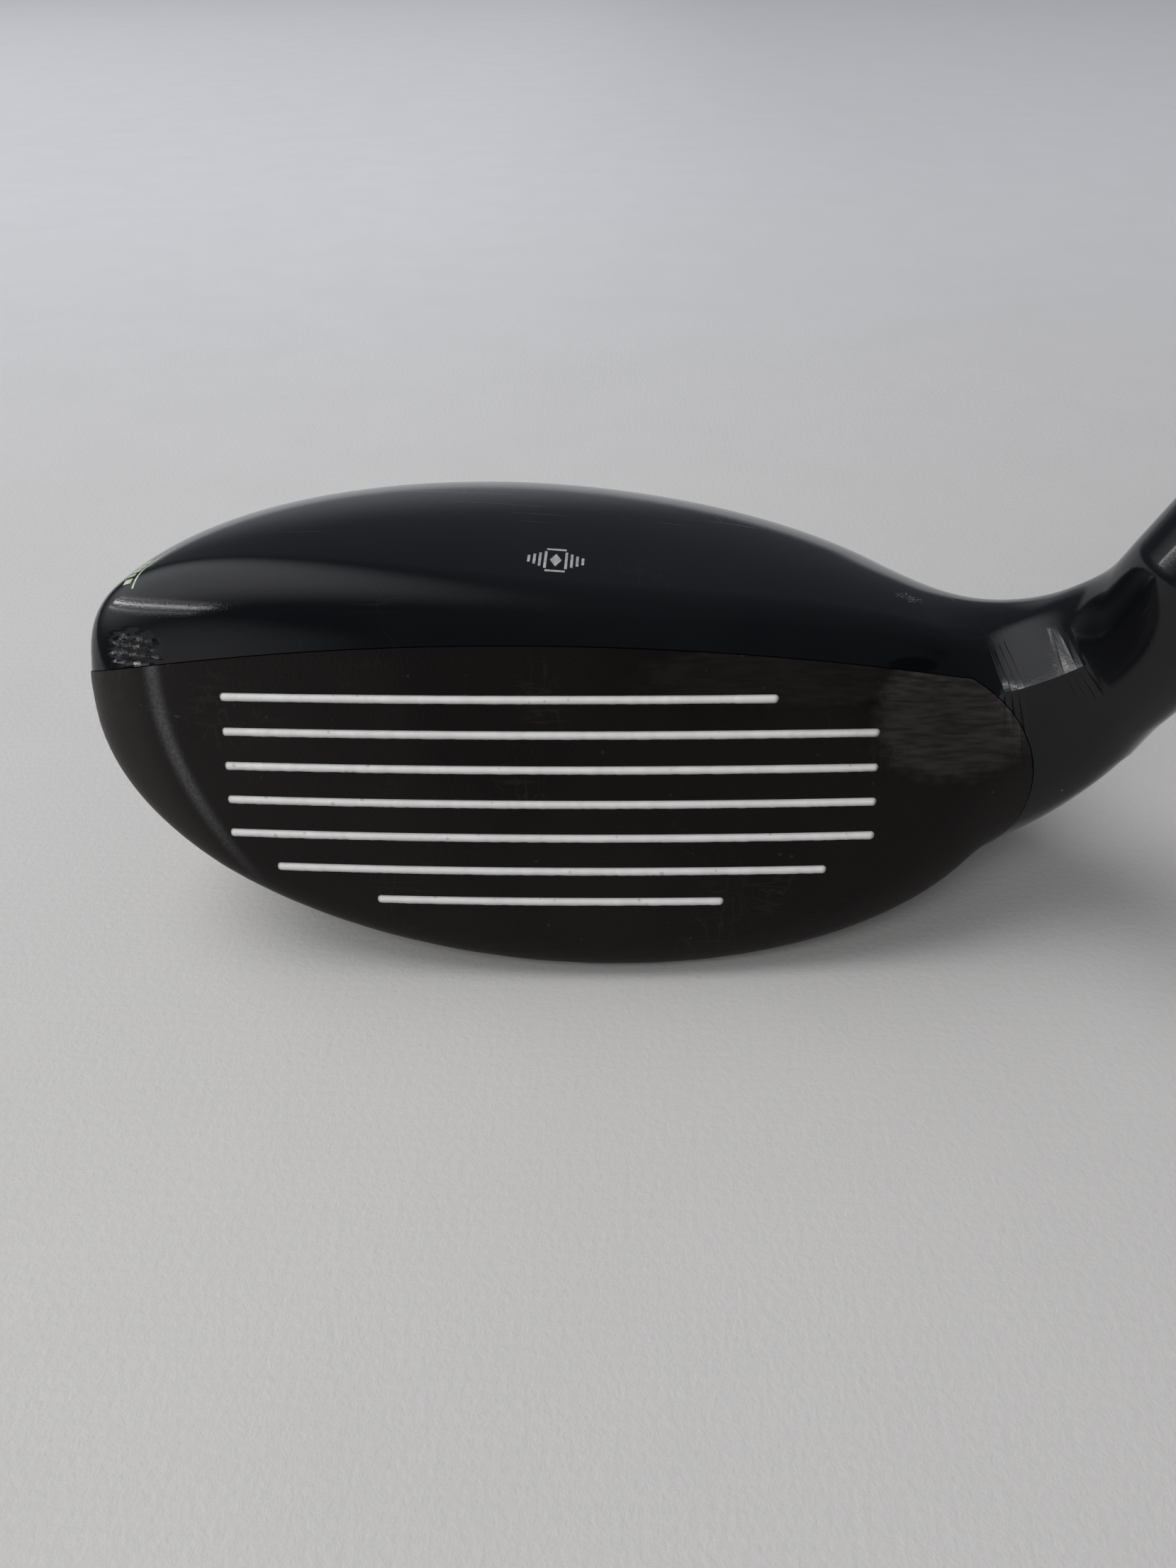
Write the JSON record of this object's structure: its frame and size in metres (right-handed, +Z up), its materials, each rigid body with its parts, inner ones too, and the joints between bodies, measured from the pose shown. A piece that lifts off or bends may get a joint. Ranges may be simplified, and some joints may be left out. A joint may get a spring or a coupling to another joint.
{
  "type": "hybrid golf club",
  "caption": "Hybrid golf club: hollow black head with scored matte face, bent hosel, tapered shaft, moulded grip and a screwed sole weight.",
  "frame": {"origin": "middle of the grip on the shaft axis, where the hands hold the club at address", "axes": "+Z up, +X from the toe to the heel with the shaft leaning towards +X in the XZ plane, the face looks along -Y and up by its loft"},
  "size_m": [0.6, 0.0647, 0.8855],
  "materials": {
    "head_paint": "gloss",
    "face_finish": "matte",
    "line_paint": "matte",
    "bare_steel": "satin",
    "dense_metal": "satin",
    "seal_rubber": "matte",
    "screw_steel": "satin",
    "plug_plastic": "matte",
    "trim_ring": "satin",
    "ferrule_plastic": "gloss",
    "graphite": "gloss",
    "tape": "matte",
    "grip_rubber": "matte"
  },
  "bodies": {
    "club": {"head_body": "head_paint", "crown": "head_paint", "face_plate": "face_finish", "score_line_1": "line_paint", "score_line_2": "line_paint", "score_line_3": "line_paint", "score_line_4": "line_paint", "score_line_5": "line_paint", "score_line_6": "line_paint", "score_line_7": "line_paint", "brace_bar_toe": "bare_steel", "brace_bar_heel": "bare_steel", "tungsten_block": "dense_metal", "weight_port": "bare_steel", "tip_plug": "plug_plastic", "ferrule_ring": "trim_ring", "ferrule": "ferrule_plastic", "shaft": "graphite", "grip_tape": "tape", "grip": "grip_rubber", "grip_cap": "grip_rubber"},
    "seal": {"weight_seal": "seal_rubber"},
    "screw": {"weight_screw": "screw_steel"}
  },
  "joints": [
    {"name": "weight_travel", "type": "slide", "parent": "club", "child": "seal", "axis": [0, 0.4067, -0.9135], "range_m": [0, 0.006]},
    {"name": "weight_turn", "type": "hinge", "parent": "seal", "child": "screw", "pos_m": [-0.4801, 0.021, -0.75616], "axis": [0, 0.4067, -0.9135], "range_deg": [0, 2160]}
  ],
  "couplings": [
    {"joint": "weight_turn", "follows": "weight_travel", "rad_per_m": 6283}
  ]
}
